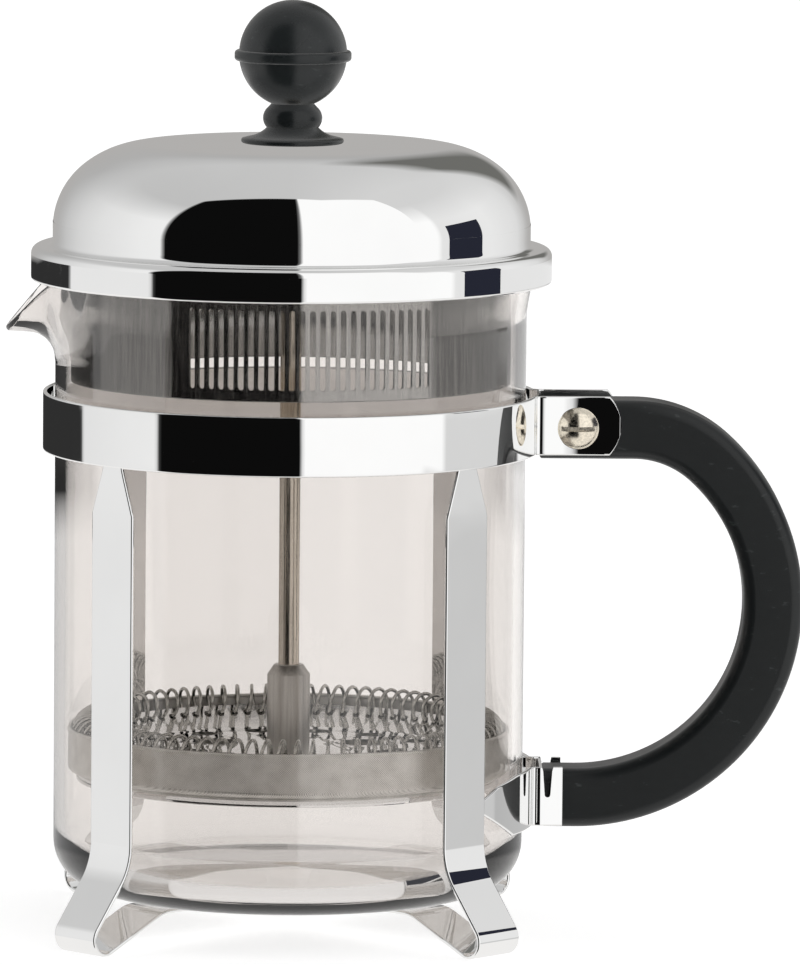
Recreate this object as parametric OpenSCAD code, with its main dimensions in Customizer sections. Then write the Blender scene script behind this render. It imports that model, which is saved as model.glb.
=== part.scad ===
// French press: a glass beaker in a chromed strip frame, with a lifting lid and a plunger.
// Millimetres, +Z up. The origin is on the glass's axis, in the plane of the four feet.
// +X points to the handle and -X to the spout.

/* [Beaker] */
// Outside diameter of the glass
glass_d = 90; // [89.6:0.1:90.4]
// Thickness of the glass wall
glass_wall = 2; // [1.8:0.1:2.2]
// Underside of the glass above the table
glass_bottom_z = 7.2; // [7.2:0.1:7.6]
// Top edge of the glass above the table
glass_top_z = 127.5; // [127:0.1:127.6]
// Thickness of the glass base
glass_base = 3.8; // [3.4:0.1:4.4]
// Radius of the glass's lower outside corner
glass_corner_r = 9.4; // [8:0.1:11]
// How far the mouth of the glass flares outwards
glass_flare = 1.3; // [0.8:0.1:1.4]

/* [Frame] */
// Thickness of the frame's chromed sheet
sheet_t = 0.8; // [0.6:0.1:0.9]
// Middle radius of the sheet round the glass
sheet_r = 46.9; // [46.8:0.1:47.1]
// Lower edge of the band
band_z = 91.5; // [88:0.5:93]
// Height of the band
band_h = 11.3; // [10:0.1:11.4]
// Width of a leg
leg_w = 10.9; // [9:0.1:12]
// Width of a leg where it meets the band
leg_neck_w = 5.1; // [4:0.1:7]
// Height over which a leg widens below the band
leg_neck_h = 8.8; // [6:0.1:12]
// Radius from the axis to the middle of a foot's curl
foot_reach = 53.2; // [52:0.1:54]
// Radius of a foot's curl, in the middle of the sheet
foot_curl_r = 3; // [2.6:0.1:3.4]
// Angle of a leg's flare from the vertical
flare_angle = 38; // [34:1:42]
// Angle at which the sheet climbs from a foot to the glass
climb_angle = 24; // [20:1:28]
// Radius of a leg's outward bend
flare_r = 12; // [8:0.5:14]

/* [Lid] */
// Outside radius of the lid's rim
rim_r = 49.7; // [49.5:0.1:50.5]
// Lower edge of the lid's rim
rim_z = 124.2; // [124.2:0.1:125]
// Outside radius of the dome
dome_r = 45.6; // [44:0.1:46]
// Top of the dome
dome_top_z = 150.2; // [149:0.1:150.2]
// Thickness of the dome's sheet
dome_t = 0.8; // [0.6:0.1:1]
// Radius of the dome's shoulder
dome_corner_r = 15.3; // [12:0.1:15.6]
// Outside radius of the strainer's sleeve
strainer_r = 42; // [41.6:0.1:42.2]
// Lower edge of the strainer's sleeve
strainer_z = 105.1; // [104:0.1:106]
// Number of pouring slots
slot_count = 25; // [9:1:31]
// Spacing of the pouring slots, in degrees
slot_pitch = 2.6; // [2.5:0.1:3]
// Width of a pouring slot
slot_w = 1.1; // [0.8:0.1:1.2]

/* [Plunger] */
// Diameter of the plunger rod
rod_d = 4; // [3.8:0.1:4.2]
// Radius of the knob's ball
ball_r = 10.3; // [9:0.1:11]
// Radius of the mesh filter's turned-up rim
mesh_r = 42.5; // [42:0.1:42.6]
// Height of the mesh filter's rim
mesh_h = 8.6; // [7:0.1:8.8]
// Lower edge of the filter stack
filter_z = 28.4; // [28:0.1:30]
// Number of turns in the coil spring
coil_turns = 84; // [60:1:90]
// Diameter of the coil spring's wire
wire_d = 0.7; // [0.5:0.1:0.8]

/* [Handle] */
// Width of the handle, seen from the side
handle_w = 11.25; // [10:0.05:11.3]
// Depth of the handle, from front to back
handle_depth = 11.9; // [11:0.1:11.9]
// Height of the handle's upper end
handle_top_z = 96.2; // [95.8:0.1:97]
// Length of the upper end before it bends, measured from the axis
handle_bend_x = 65.6; // [64:0.1:68]
// Radius of the upper bend
upper_bend_r = 21.8; // [19:0.1:24]
// Turn of the upper bend, in degrees
upper_bend_angle = 42; // [38:1:46]
// Height of the middle of the handle's lower end
handle_low_z = 25.2; // [25:0.1:25.6]

/* [Hidden] */
$fn = 128;

chrome = [0.84, 0.85, 0.86];
steel = [0.66, 0.65, 0.62];
black = [0.11, 0.12, 0.12];
brass = [0.72, 0.56, 0.3];
clear_glass = [0.86, 0.84, 0.8, 0.45];

cut = 1;                // how far a cutting solid runs past what it cuts
fit_gap = 0.02;         // radial gap round a fixed shaft or thread
run_gap = 0.06;         // radial gap round a running shaft
glass_r = glass_d / 2;
inner_r = glass_r - glass_wall;
rod_r = rod_d / 2;

// Frame
ear_in_y = 6;                           // inside face of an ear, just clear of the handle
ear_mid_y = ear_in_y + sheet_t / 2;
bend_r = 1.8;                           // middle of the bend from the band into an ear
bend_y = ear_mid_y + bend_r;
bend_x = sqrt(pow(sheet_r + bend_r, 2) - pow(bend_y, 2));
bend_a = asin(bend_y / (sheet_r + bend_r));
screw_x = 54.8;
screw_z = 96.7;
screw_r = 2;
screw_head_r = 4;
ear_end_r = 8.3;
leg_run_z = glass_bottom_z - 0.1 - sheet_t / 2;
leg_top_z = band_z;
foot_flat = 0.15;                       // what the table takes off a foot's curl
foot_z = foot_curl_r + sheet_t / 2 - foot_flat;
leg_edge_a = asin(leg_w / 2 / sheet_r);
hop_h = sheet_t + 0.05;                 // how far leg strip b rises to cross strip a
rivet_r = 1.6;

// Lower bracket
bracket_z = 20.1;
bracket_h = 11.4;
bracket_end_x = 52.5;
notch_x = 49.7;
notch_w = 1.75;
notch_tip_r = 0.55;
notch_tip_z = 26.2;
hook_z = 26;
hook_h = 2;
web_t = 0.6;

// Lid
seat_z = glass_top_z + 0.1;             // underside of the lid where it rests on the glass
plate_t = 0.6;
rim_top_z = 129.2;
shoulder_r = 1.4;
crease_r = 1;
slot_low_z = 107.2;
slot_high_z = 122.4;
slot_mid_a = -84.5;                     // the slots are turned away from the spout
bush_r = 3;
dome_corner_z = 133.9;                  // height at which the dome's shoulder starts
dome_change_a = 50;                     // normal's angle where the shoulder opens wider

// Plunger
knob_z = dome_top_z + 0.1;
ball_z = knob_z + 17;
rod_top_z = ball_z - 3.5;
insert_r = 3.2;
coupling_r = 4.1;
coupling_top_z = 50.2;
mesh_z = filter_z + 1.8;                // underside of the mesh
plate_z = mesh_z + 2.4;                 // underside of the spiral plate
rod_low_z = 42.3;
coil_ring_r = 38.4;
coil_r = 2.8;
coil_z = 38;
thread_a = 240.8;                       // where round its turn the wire passes the plate
coil_steps = 8;                         // points on one turn of the coil
wire_sides = 4;

// Handle
loop_r = (handle_top_z - upper_bend_r * (1 - cos(upper_bend_angle)) - handle_low_z)
    / (1 + cos(upper_bend_angle));
loop_x = handle_bend_x + (upper_bend_r - loop_r) * sin(upper_bend_angle);
handle_start_x = 47.7;
handle_end_x = bend_x + web_t + 0.2;
handle_edge_r = 2.2;

function arc(cx, cy, r, a0, a1, n) =
    [for (i = [0:n]) let (a = a0 + (a1 - a0) * i / n) [cx + r * cos(a), cy + r * sin(a)]];

function reversed(p) = [for (i = [len(p) - 1:-1:0]) p[i]];

function rounded_rectangle(w, h, r) = concat(
    arc(w / 2 - r, h / 2 - r, r, 0, 90, 5), arc(r - w / 2, h / 2 - r, r, 90, 180, 5),
    arc(r - w / 2, r - h / 2, r, 180, 270, 5), arc(w / 2 - r, r - h / 2, r, 270, 360, 5));

// The dome's outer face and its inner face, which lies inset inside it: a wall, a round corner
// that opens into a wider one, and a flat crown
function dome_face(inset) =
    let (
        corner_x = dome_r - dome_corner_r,
        c = cos(dome_change_a),
        s = sin(dome_change_a),
        wide_r = (dome_top_z - dome_corner_z - dome_corner_r * s) / (1 - s),
        wide_x = corner_x + (dome_corner_r - wide_r) * c,
        wide_z = dome_corner_z + (dome_corner_r - wide_r) * s
    )
    concat(arc(corner_x, dome_corner_z, dome_corner_r - inset, 0, dome_change_a, 12),
           arc(wide_x, wide_z, wide_r - inset, dome_change_a + 2, 90, 16));

// A wall of sheet along a circle about the glass's axis
module curved_sheet(z, h, a0, a1, r, t) {
    rotate([0, 0, a0]) rotate_extrude(angle = a1 - a0) translate([r - t / 2, z]) square([t, h]);
}

// One face of a sheet that runs round the glass from angle a0, bends outwards and ends at x1
// as a flat ear. d is the face's distance outside the middle of the sheet.
function ear_face(d, a0, x1) = concat(
    arc(0, 0, sheet_r + d, a0, bend_a, ceil((a0 - bend_a) / 3)),
    arc(bend_x, bend_y, bend_r - d, 180 + bend_a, 270, 10),
    [[x1, ear_mid_y + d]]);

function mirrored(p) = [for (q = reversed(p)) [q[0], -q[1]]];

module along_y(x, z, r, y0, y1) {
    translate([x, y0, z]) rotate([-90, 0, 0]) cylinder(r = r, h = y1 - y0);
}

// Beaker
module glass_outside() {
    flare_z = 117;
    lip_r = glass_wall / 2;
    kick_z = glass_bottom_z + 2;
    rotate_extrude() polygon(concat(
        [[0, kick_z], [12, kick_z - 0.2], [24, glass_bottom_z + 0.4], [27.5, glass_bottom_z]],
        arc(glass_r - glass_corner_r, glass_bottom_z + glass_corner_r, glass_corner_r, -90, 0, 10),
        [[glass_r, flare_z]],
        arc(glass_r + glass_flare - lip_r, glass_top_z - lip_r, lip_r, 0, 90, 4),
        [[0, glass_top_z]]));
}

module glass_inside() {
    corner_r = 8;
    floor_z = glass_bottom_z + glass_base;
    flare_z = 117;
    rotate_extrude() polygon(concat(
        [[0, floor_z]],
        arc(inner_r - corner_r, floor_z + corner_r, corner_r, -90, 0, 10),
        [[inner_r, flare_z], [inner_r + glass_flare, glass_top_z + cut], [0, glass_top_z + cut]]));
}

// A chain of balls, each given as [x, y, z], wrapped in one skin
module skin(points, r) {
    hull() for (p = points) translate(p) sphere(r = r, $fn = 24);
}

module beaker() color(clear_glass) difference() {
    union() {
        glass_outside();
        skin([[-54, 3.4, 115.3], [-54, -3.4, 115.3], [-45, 0, 111.6], [-44, 12.5, 124.4],
              [-44, -12.5, 124.4], [-42, 0, 110.5]], 1.4);
    }
    glass_inside();
    skin([[-58, 2.6, 118.6], [-58, -2.6, 118.6], [-42, 0, 113.9], [-40, 10.6, 125], [-40, -10.6, 125],
          [-58, 2.6, 131], [-58, -2.6, 131], [-40, 10.6, 131], [-40, -10.6, 131]], 1.4);
}

// Frame
module frame_band() color(chrome) difference() {
    ear_y = ear_in_y + sheet_t + cut;
    outside = ear_face(sheet_t / 2, 180, screw_x + ear_end_r);
    inside = ear_face(-sheet_t / 2, 180, screw_x + ear_end_r);
    translate([0, 0, band_z]) linear_extrude(band_h)
        polygon(concat(outside, reversed(inside), mirrored(reversed(inside)), mirrored(outside)));
    // the round ends of the ears
    difference() {
        translate([screw_x, -ear_y, band_z - cut]) cube([20, 2 * ear_y, band_h + 2 * cut]);
        along_y(screw_x, band_z + band_h / 2, ear_end_r, -20, 20);
    }
    along_y(screw_x, screw_z, screw_r + fit_gap, -ear_y, ear_y);
}

// One face of a leg's sheet, d outside its middle, from the band to the crossing under the glass
function leg_face(d, hop) =
    let (
        curl_start = [foot_reach + foot_curl_r * cos(flare_angle),
                      foot_z + foot_curl_r * sin(flare_angle)],
        flare_end_u = sheet_r + flare_r * (1 - cos(flare_angle)),
        slope_len = (curl_start[0] - flare_end_u) / sin(flare_angle),
        flare_z = curl_start[1] + slope_len * cos(flare_angle) + flare_r * sin(flare_angle),
        climb_r = 8,
        curl_end = [foot_reach - foot_curl_r * sin(climb_angle),
                    foot_z - foot_curl_r * cos(climb_angle)],
        climb_top = leg_run_z - climb_r * (1 - cos(climb_angle)),
        climb_u = curl_end[0] - (climb_top - curl_end[1]) / tan(climb_angle)
            - climb_r * sin(climb_angle)
    )
    concat(
        [[sheet_r + d, leg_top_z]],
        arc(sheet_r + flare_r, flare_z, flare_r - d, 180, 180 + flare_angle, 6),
        arc(foot_reach, foot_z, foot_curl_r + d, flare_angle, -90 - climb_angle, 18),
        arc(climb_u, leg_run_z - climb_r, climb_r - d, 90 - climb_angle, 90, 4),
        hop ? [[9.5, leg_run_z - d], [7.5, leg_run_z + hop_h - d], [0, leg_run_z + hop_h - d]]
            : [[0, leg_run_z - d]]);

module leg_strip(hop) {
    taper = (leg_w - leg_neck_w) / 2;
    difference() {
        for (turn = [0, 180]) rotate([90, 0, turn]) translate([0, 0, -leg_w / 2])
            linear_extrude(leg_w) polygon(concat(leg_face(sheet_t / 2, hop),
                                                 reversed(leg_face(-sheet_t / 2, hop))));
        // the taper of the necks
        for (side = [-1, 1]) scale([1, side, 1]) translate([-60, 0, 0]) rotate([90, 0, 90])
            linear_extrude(120) polygon([
                [leg_w / 2, leg_top_z - leg_neck_h], [leg_neck_w / 2, leg_top_z],
                [leg_neck_w / 2, leg_top_z + cut], [leg_w / 2 + cut, leg_top_z + cut],
                [leg_w / 2 + cut, leg_top_z - leg_neck_h]]);
        // the flats of the feet
        translate([-70, -leg_w, -cut]) cube([140, 2 * leg_w, cut]);
        translate([0, 0, leg_run_z - 2]) cylinder(r = rivet_r + fit_gap, h = 5);
    }
}

module leg_strip_a() color(chrome) rotate([0, 0, 45]) leg_strip(false);

module leg_strip_b() color(chrome) rotate([0, 0, -45]) leg_strip(true);

module centre_rivet() color(steel) {
    low_z = leg_run_z - sheet_t / 2;
    high_z = leg_run_z + hop_h + sheet_t / 2;
    translate([0, 0, low_z]) cylinder(r = rivet_r, h = high_z - low_z);
    translate([0, 0, low_z - 0.8]) cylinder(r1 = 2.4, r2 = 3, h = 0.8);
    translate([0, 0, high_z]) cylinder(r1 = 3, r2 = 2.4, h = 0.6);
}

module handle_section() {
    polygon(rounded_rectangle(handle_w, handle_depth, handle_edge_r));
}

// A bend that starts at angle 90 or -90 from the +X direction and turns by the angle given
module handle_bend(r, angle) {
    rotate([90, 0, 0]) rotate_extrude(angle = angle) translate([r, 0]) handle_section();
}

module handle_straight(x0, x1, z) {
    translate([x0, 0, z]) rotate([0, 90, 0]) linear_extrude(x1 - x0) handle_section();
}

module handle() color(black) difference() {
    union() {
        handle_straight(handle_start_x, handle_bend_x, handle_top_z);
        translate([handle_bend_x, 0, handle_top_z - upper_bend_r]) mirror([1, 0, 0])
            rotate([0, -90, 0]) handle_bend(upper_bend_r, upper_bend_angle);
        translate([loop_x, 0, handle_low_z + loop_r])
            rotate([0, 90, 0]) handle_bend(loop_r, 180 - upper_bend_angle);
        handle_straight(handle_end_x, loop_x, handle_low_z);
        // the nubs that snap into the bracket's notches
        along_y(notch_x, notch_tip_z + 0.4, 0.5, -ear_in_y - 0.5, ear_in_y + 0.5);
    }
    along_y(screw_x, screw_z, screw_r + fit_gap, -10, 10);
}

module handle_screw() color(steel) {
    head_y = -ear_in_y - sheet_t;
    head_h = 2.1;
    head_ball_r = (screw_head_r * screw_head_r + head_h * head_h) / (2 * head_h);
    along_y(screw_x, screw_z, screw_r, head_y, ear_in_y + sheet_t + 3);
    difference() {
        intersection() {
            translate([screw_x, head_y - head_h + head_ball_r, screw_z]) sphere(r = head_ball_r);
            along_y(screw_x, screw_z, screw_head_r, head_y - head_h - cut, head_y);
        }
        translate([screw_x - 5, head_y - head_h - cut, screw_z - 0.45]) cube([10, 1.2 + cut, 0.9]);
    }
}

module handle_nut() color(steel) difference() {
    nut_y = ear_in_y + sheet_t;
    translate([screw_x, nut_y, screw_z]) rotate([-90, 0, 0]) cylinder(r = 4.04, h = 2.4, $fn = 6);
    along_y(screw_x, screw_z, screw_r + fit_gap, nut_y - cut, nut_y + 2.4 + cut);
}

// The outline of a bracket wing, drawn on the plane that touches the sheet at wing_a
module wing_outline() {
    polygon([[-18, bracket_z], [-4.4, bracket_z], [6.9, 25.5], [6.9, 28.4], [2.1, 30.3],
             [-6.3, bracket_z + bracket_h], [-18, bracket_z + bracket_h]]);
}

// The wings taper from the handle to the legs, and a hook goes behind each leg
module lower_bracket() color(chrome) {
    wing_a = 30;
    end_a = 45 - leg_edge_a;
    outline = concat(ear_face(sheet_t / 2, end_a, bracket_end_x),
                     reversed(ear_face(-sheet_t / 2, end_a, bracket_end_x)));
    for (side = [0, 1]) mirror([0, side, 0]) {
        difference() {
            translate([0, 0, bracket_z]) linear_extrude(bracket_h) polygon(outline);
            rotate([0, 0, wing_a]) translate([30, 0, 0]) rotate([90, 0, 90]) linear_extrude(30)
                difference() {
                    translate([-16, bracket_z - cut]) square([30, bracket_h + 2 * cut]);
                    wing_outline();
                }
            along_y(notch_x, notch_tip_z, notch_tip_r, ear_in_y - cut, ear_in_y + sheet_t + cut);
            translate([notch_x, ear_in_y + sheet_t + cut, 0]) rotate([90, 0, 0])
                linear_extrude(sheet_t + 2 * cut) polygon([
                    [-notch_tip_r, notch_tip_z], [-notch_w / 2, bracket_z + bracket_h - 0.8],
                    [-notch_w / 2, bracket_z + bracket_h + cut],
                    [notch_w / 2, bracket_z + bracket_h + cut],
                    [notch_w / 2, bracket_z + bracket_h - 0.8], [notch_tip_r, notch_tip_z]]);
        }
        curved_sheet(hook_z, hook_h, end_a - 1.2, end_a + 4, r = sheet_r - 0.8, t = 0.5);
        curved_sheet(hook_z, hook_h, end_a - 1.1, end_a - 0.4, r = sheet_r - 0.5, t = 0.6);
    }
    // the web behind the handle's end
    translate([bend_x + 0.1, -ear_mid_y, bracket_z + 0.2])
        cube([web_t, 2 * ear_mid_y, bracket_h - 0.4]);
}

// Lid
module lid_dome() color(chrome) {
    foot_in = dome_r - dome_t;
    dome_z = rim_top_z + 1.4;
    hole_r = bush_r + run_gap;
    rotate_extrude() polygon(concat(
        [[rim_r - dome_t, rim_z], [rim_r - 0.3, rim_z], [rim_r, rim_z + 0.4]],
        arc(rim_r - shoulder_r, rim_top_z, shoulder_r, 0, 90, 6),
        arc(dome_r + crease_r, dome_z + crease_r, crease_r, 270, 180, 5),
        dome_face(0), [[hole_r, dome_top_z], [hole_r, dome_top_z - dome_t]],
        reversed(dome_face(dome_t)),
        [[foot_in, dome_z - dome_t + shoulder_r], [foot_in, rim_top_z + shoulder_r - dome_t],
         [rim_r - dome_t, rim_top_z + shoulder_r - dome_t - 0.3]]));
}

module pouring_slot(a) {
    r = slot_w / 2;
    rotate([0, 0, a]) translate([strainer_r - 3, 0, 0]) {
        translate([0, -r, slot_low_z + r]) cube([6, slot_w, slot_high_z - slot_low_z - slot_w]);
        for (z = [slot_low_z + r, slot_high_z - r])
            translate([0, 0, z]) rotate([0, 90, 0]) cylinder(r = r, h = 6, $fn = 24);
    }
}

module lid_strainer() color(steel) difference() {
    flange_r = rim_r - dome_t - 0.2;
    rotate_extrude() polygon([
        [strainer_r - plate_t, strainer_z], [strainer_r, strainer_z],
        [strainer_r, seat_z], [flange_r, seat_z], [flange_r, rim_top_z],
        [flange_r - plate_t, rim_top_z], [flange_r - plate_t, seat_z + plate_t],
        [strainer_r - plate_t, seat_z + plate_t]]);
    for (i = [0:slot_count - 1]) pouring_slot(slot_mid_a + (i - (slot_count - 1) / 2) * slot_pitch);
}

module lid_inner_plate() color(steel) translate([0, 0, seat_z + plate_t + 0.02]) difference() {
    cylinder(r = rim_r - dome_t - 1, h = plate_t);
    translate([0, 0, -cut]) cylinder(r = bush_r + run_gap, h = plate_t + 2 * cut);
}

module rod_bush() color(steel) {
    under_z = seat_z + plate_t - 0.1;
    over_z = dome_top_z - dome_t - 0.1;
    rotate_extrude() polygon([
        [rod_r + run_gap, under_z - 1], [5, under_z - 1], [5, under_z], [bush_r, under_z],
        [bush_r, over_z - 1.2], [4.2, over_z - 1.2], [4.2, over_z], [bush_r, over_z],
        [bush_r, dome_top_z - 0.1], [rod_r + run_gap, dome_top_z - 0.1]]);
}

// Plunger
module knob() color(black) difference() {
    union() {
        translate([0, 0, ball_z]) sphere(r = ball_r);
        // the ring round the ball's equator
        rotate_extrude() translate([0, ball_z - 0.3]) polygon([
            [ball_r - 2, -0.95], [ball_r + 0.6, -0.95], [ball_r + 1, -0.5], [ball_r + 1, 0.5],
            [ball_r + 0.6, 0.95], [ball_r - 2, 0.95]]);
        // the bead under the ball, and the flared saucer
        rotate_extrude() polygon(concat(
            [[0, knob_z], [9.4, knob_z]],
            arc(9.3, knob_z + 0.5, 0.5, -60, 60, 4),
            arc(9.3, knob_z + 7.2, 5.6, 262, 214, 6),
            arc(2.95, knob_z + 4.7, 2.7, -52, 52, 10),
            [[3.9, knob_z + 7.6], [0, knob_z + 7.6]]));
    }
    translate([0, 0, knob_z - cut]) cylinder(r = insert_r + fit_gap, h = rod_top_z + 0.5 - knob_z + cut);
}

module knob_insert() color(brass) translate([0, 0, knob_z + 0.5]) difference() {
    cylinder(r = insert_r, h = rod_top_z - knob_z - 0.5);
    translate([0, 0, -cut]) cylinder(r = rod_r + fit_gap, h = rod_top_z - knob_z + 2 * cut);
}

module plunger_rod() color(steel) translate([0, 0, rod_low_z])
    cylinder(r = rod_r, h = rod_top_z - rod_low_z);

module coupling_nut() color(steel) difference() {
    low_z = mesh_z + 0.9;
    chamfer = 1.8;
    union() {
        translate([0, 0, low_z]) cylinder(r = coupling_r, h = coupling_top_z - chamfer - low_z);
        translate([0, 0, coupling_top_z - chamfer])
            cylinder(r1 = coupling_r, r2 = coupling_r - 1.3, h = chamfer);
    }
    translate([0, 0, low_z - cut]) cylinder(r = rod_r + fit_gap, h = 25);
}

// The plate is clamped at its middle, and the coil spring is threaded round its flared edge
module spiral_plate() color(chrome) {
    t = 0.5;
    difference() {
        rotate_extrude() polygon([
            [rod_r + fit_gap, mesh_z + 0.4], [8, mesh_z + 0.4], [12, plate_z], [34, plate_z],
            [38.7, plate_z + 4], [38.3, plate_z + 4 + t], [33.8, plate_z + t], [11.8, plate_z + t],
            [7.8, mesh_z + 0.4 + t], [rod_r + fit_gap, mesh_z + 0.4 + t]]);
        for (i = [0:coil_turns - 1]) rotate([0, 0, (thread_a + 360 * i) / coil_turns])
            translate([coil_ring_r + coil_r * cos(thread_a), 0, coil_z + coil_r * sin(thread_a)])
                rotate([0, thread_a - 120, 0]) cylinder(r = 0.75, h = 3, center = true, $fn = 16);
        for (i = [0:7]) rotate([0, 0, 45 * i]) translate([20, 0, plate_z - cut])
            cylinder(r = 4, h = 3);
        for (i = [0:15]) rotate([0, 0, 22.5 * i + 11.25]) translate([29.5, 0, plate_z - cut])
            cylinder(r = 2.6, h = 3);
    }
}

// The wire's points run round the coil while the coil runs round the plate
function coil_point(ring_a, turn_a, wire_a) =
    let (
        out = coil_r + wire_d / 2 * cos(wire_a),
        along = wire_d / 2 * sin(wire_a),
        r = coil_ring_r + out * cos(turn_a)
    )
    [r * cos(ring_a) - along * sin(ring_a), r * sin(ring_a) + along * cos(ring_a),
     coil_z + out * sin(turn_a)];

module coil_spring() color(steel) {
    rings = coil_turns * coil_steps;
    polyhedron(
        points = [for (i = [0:rings - 1]) for (j = [0:wire_sides - 1])
            coil_point(360 * i / rings, 360 * i / coil_steps, 360 * (j + 0.5) / wire_sides)],
        faces = [for (i = [0:rings - 1]) for (j = [0:wire_sides - 1])
            let (i1 = (i + 1) % rings, j1 = (j + 1) % wire_sides)
            each [[i * wire_sides + j, i1 * wire_sides + j, i1 * wire_sides + j1],
                  [i * wire_sides + j, i1 * wire_sides + j1, i * wire_sides + j1]]]);
}

module mesh_filter() color([0.78, 0.77, 0.74]) rotate_extrude() polygon(concat(
    [[rod_r + fit_gap, mesh_z]],
    arc(mesh_r - 1, mesh_z + 1, 1, -90, 0, 4),
    [[mesh_r, mesh_z + mesh_h], [mesh_r - 0.35, mesh_z + mesh_h]],
    arc(mesh_r - 1, mesh_z + 1, 0.65, 0, -90, 4),
    [[rod_r + fit_gap, mesh_z + 0.35]]));

module cross_plate() color(chrome) difference() {
    edge_r = 40.6;
    t = 0.6;
    rotate_extrude() polygon(concat(
        [[0, mesh_z - t], [edge_r - 1.6, mesh_z - t], [edge_r - t, mesh_z - 1],
         [edge_r - t, filter_z], [edge_r, filter_z]],
        arc(edge_r - 1, mesh_z - 1, 1, 0, 90, 4),
        [[0, mesh_z]]));
    // four windows leave a cross
    translate([0, 0, mesh_z - 2]) linear_extrude(3) difference() {
        circle(r = 35.5);
        circle(r = 10);
        for (a = [45, 135]) rotate(a) square([80, 8], center = true);
    }
    translate([0, 0, mesh_z - 2]) cylinder(r = rod_r + fit_gap, h = 3);
}

module cross_plate_stud() color(steel) {
    head_z = filter_z;
    translate([0, 0, head_z]) cylinder(r = 4.2, h = mesh_z - 0.6 - head_z);
    translate([0, 0, mesh_z - 0.6]) cylinder(r = rod_r, h = rod_low_z - 0.3 - mesh_z + 0.6);
}

knob();
knob_insert();
plunger_rod();
lid_dome();
lid_strainer();
lid_inner_plate();
rod_bush();
coupling_nut();
spiral_plate();
coil_spring();
mesh_filter();
cross_plate();
cross_plate_stud();
beaker();
frame_band();
leg_strip_a();
leg_strip_b();
centre_rivet();
handle();
handle_screw();
handle_nut();
lower_bracket();
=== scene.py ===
"""French press: the visual model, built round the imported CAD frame.

Lengths are in millimetres while a piece is made, and in metres once it is an object.
The origin is on the glass's axis at the table, +X points to the handle, -X to the spout,
and the camera looks along +Y.
"""

from math import asin, cos, degrees, exp, hypot, pi, radians, sin, sqrt, tan

import bmesh
import bpy
from mathutils import Matrix, Vector, noise


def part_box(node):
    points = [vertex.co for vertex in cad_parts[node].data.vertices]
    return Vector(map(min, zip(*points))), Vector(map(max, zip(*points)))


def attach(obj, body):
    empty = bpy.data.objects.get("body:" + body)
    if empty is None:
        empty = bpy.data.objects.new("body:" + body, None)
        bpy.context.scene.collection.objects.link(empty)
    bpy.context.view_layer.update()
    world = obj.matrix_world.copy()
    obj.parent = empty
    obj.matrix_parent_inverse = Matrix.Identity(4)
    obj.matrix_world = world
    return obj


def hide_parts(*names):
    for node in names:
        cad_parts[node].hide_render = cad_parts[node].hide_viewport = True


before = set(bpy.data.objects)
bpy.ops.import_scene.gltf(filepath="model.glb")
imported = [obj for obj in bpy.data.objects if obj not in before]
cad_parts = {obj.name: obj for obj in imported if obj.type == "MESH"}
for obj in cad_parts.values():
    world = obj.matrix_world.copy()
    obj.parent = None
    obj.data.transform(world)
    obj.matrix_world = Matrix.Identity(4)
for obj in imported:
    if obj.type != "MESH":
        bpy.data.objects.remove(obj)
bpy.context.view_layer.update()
MM = 0.001


# ---------------------------------------------------------------- sizes from the frame

def low(node, axis):
    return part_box(node)[0]["xyz".index(axis)] / MM


def high(node, axis):
    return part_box(node)[1]["xyz".index(axis)] / MM


GLASS_FLARE = 1.3
GLASS_WALL = 2.0
GLASS_R = high("beaker", "y") - GLASS_FLARE
GLASS_LOW = low("beaker", "z")
GLASS_TOP = high("beaker", "z")
SHEET_T = 0.8
FIT = 0.02
SHEET_R = -low("frame_band", "x") - SHEET_T / 2
BAND_LOW = low("frame_band", "z")
BAND_HIGH = high("frame_band", "z")
EAR_Y = 6.4
EAR_END_X = high("frame_band", "x")
EAR_FLAT_X = 57.3
BEND_R = 1.8
BEND_Y = EAR_Y + BEND_R
BEND_X = sqrt((SHEET_R + BEND_R) ** 2 - BEND_Y ** 2)
BEND_A = asin(BEND_Y / (SHEET_R + BEND_R))
SCREW_X = (low("handle_nut", "x") + high("handle_nut", "x")) / 2
SCREW_Z = (low("handle_nut", "z") + high("handle_nut", "z")) / 2
SCREW_R = 2.0
RIM_R = high("lid_dome", "y")
RIM_LOW = low("lid_dome", "z")
DOME_TOP = high("lid_dome", "z")
SEAT_Z = GLASS_TOP + 0.1
STRAINER_LOW = low("lid_strainer", "z")
STRAINER_R = 42.0
STRAINER_FLANGE_R = high("lid_strainer", "y")
STRAINER_TOP = high("lid_strainer", "z")
KNOB_LOW = low("knob", "z")
KNOB_TOP = high("knob", "z")
BALL_R = 10.3
BALL_Z = KNOB_TOP - BALL_R
ROD_R = high("plunger_rod", "x")
COUPLING_LOW = low("coupling_nut", "z")
COUPLING_TOP = high("coupling_nut", "z")
COUPLING_R = high("coupling_nut", "x")
MESH_LOW = low("mesh_filter", "z")
MESH_HIGH = high("mesh_filter", "z")
MESH_R = high("mesh_filter", "y")
PLATE_Z = MESH_LOW + 2.4
FILTER_LOW = low("cross_plate", "z")
CROSS_R = high("cross_plate", "y")
BRACKET_LOW = low("lower_bracket", "z")
BRACKET_HIGH = high("lower_bracket", "z")
BRACKET_END_X = high("lower_bracket", "x")
LEG_W = 10.9
LEG_NECK_W = 5.1
LEG_NECK_H = 8.8
LEG_EDGE_A = asin(LEG_W / 2 / SHEET_R)
HANDLE_TOP_Z = 96.2
HANDLE_LOW_Z = 25.2


# ---------------------------------------------------------------- materials

def node_material(name):
    """A new material, its node tree and its Principled shader."""
    material = bpy.data.materials.new(name)
    material.use_nodes = True
    return material, material.node_tree, material.node_tree.nodes["Principled BSDF"]


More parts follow.
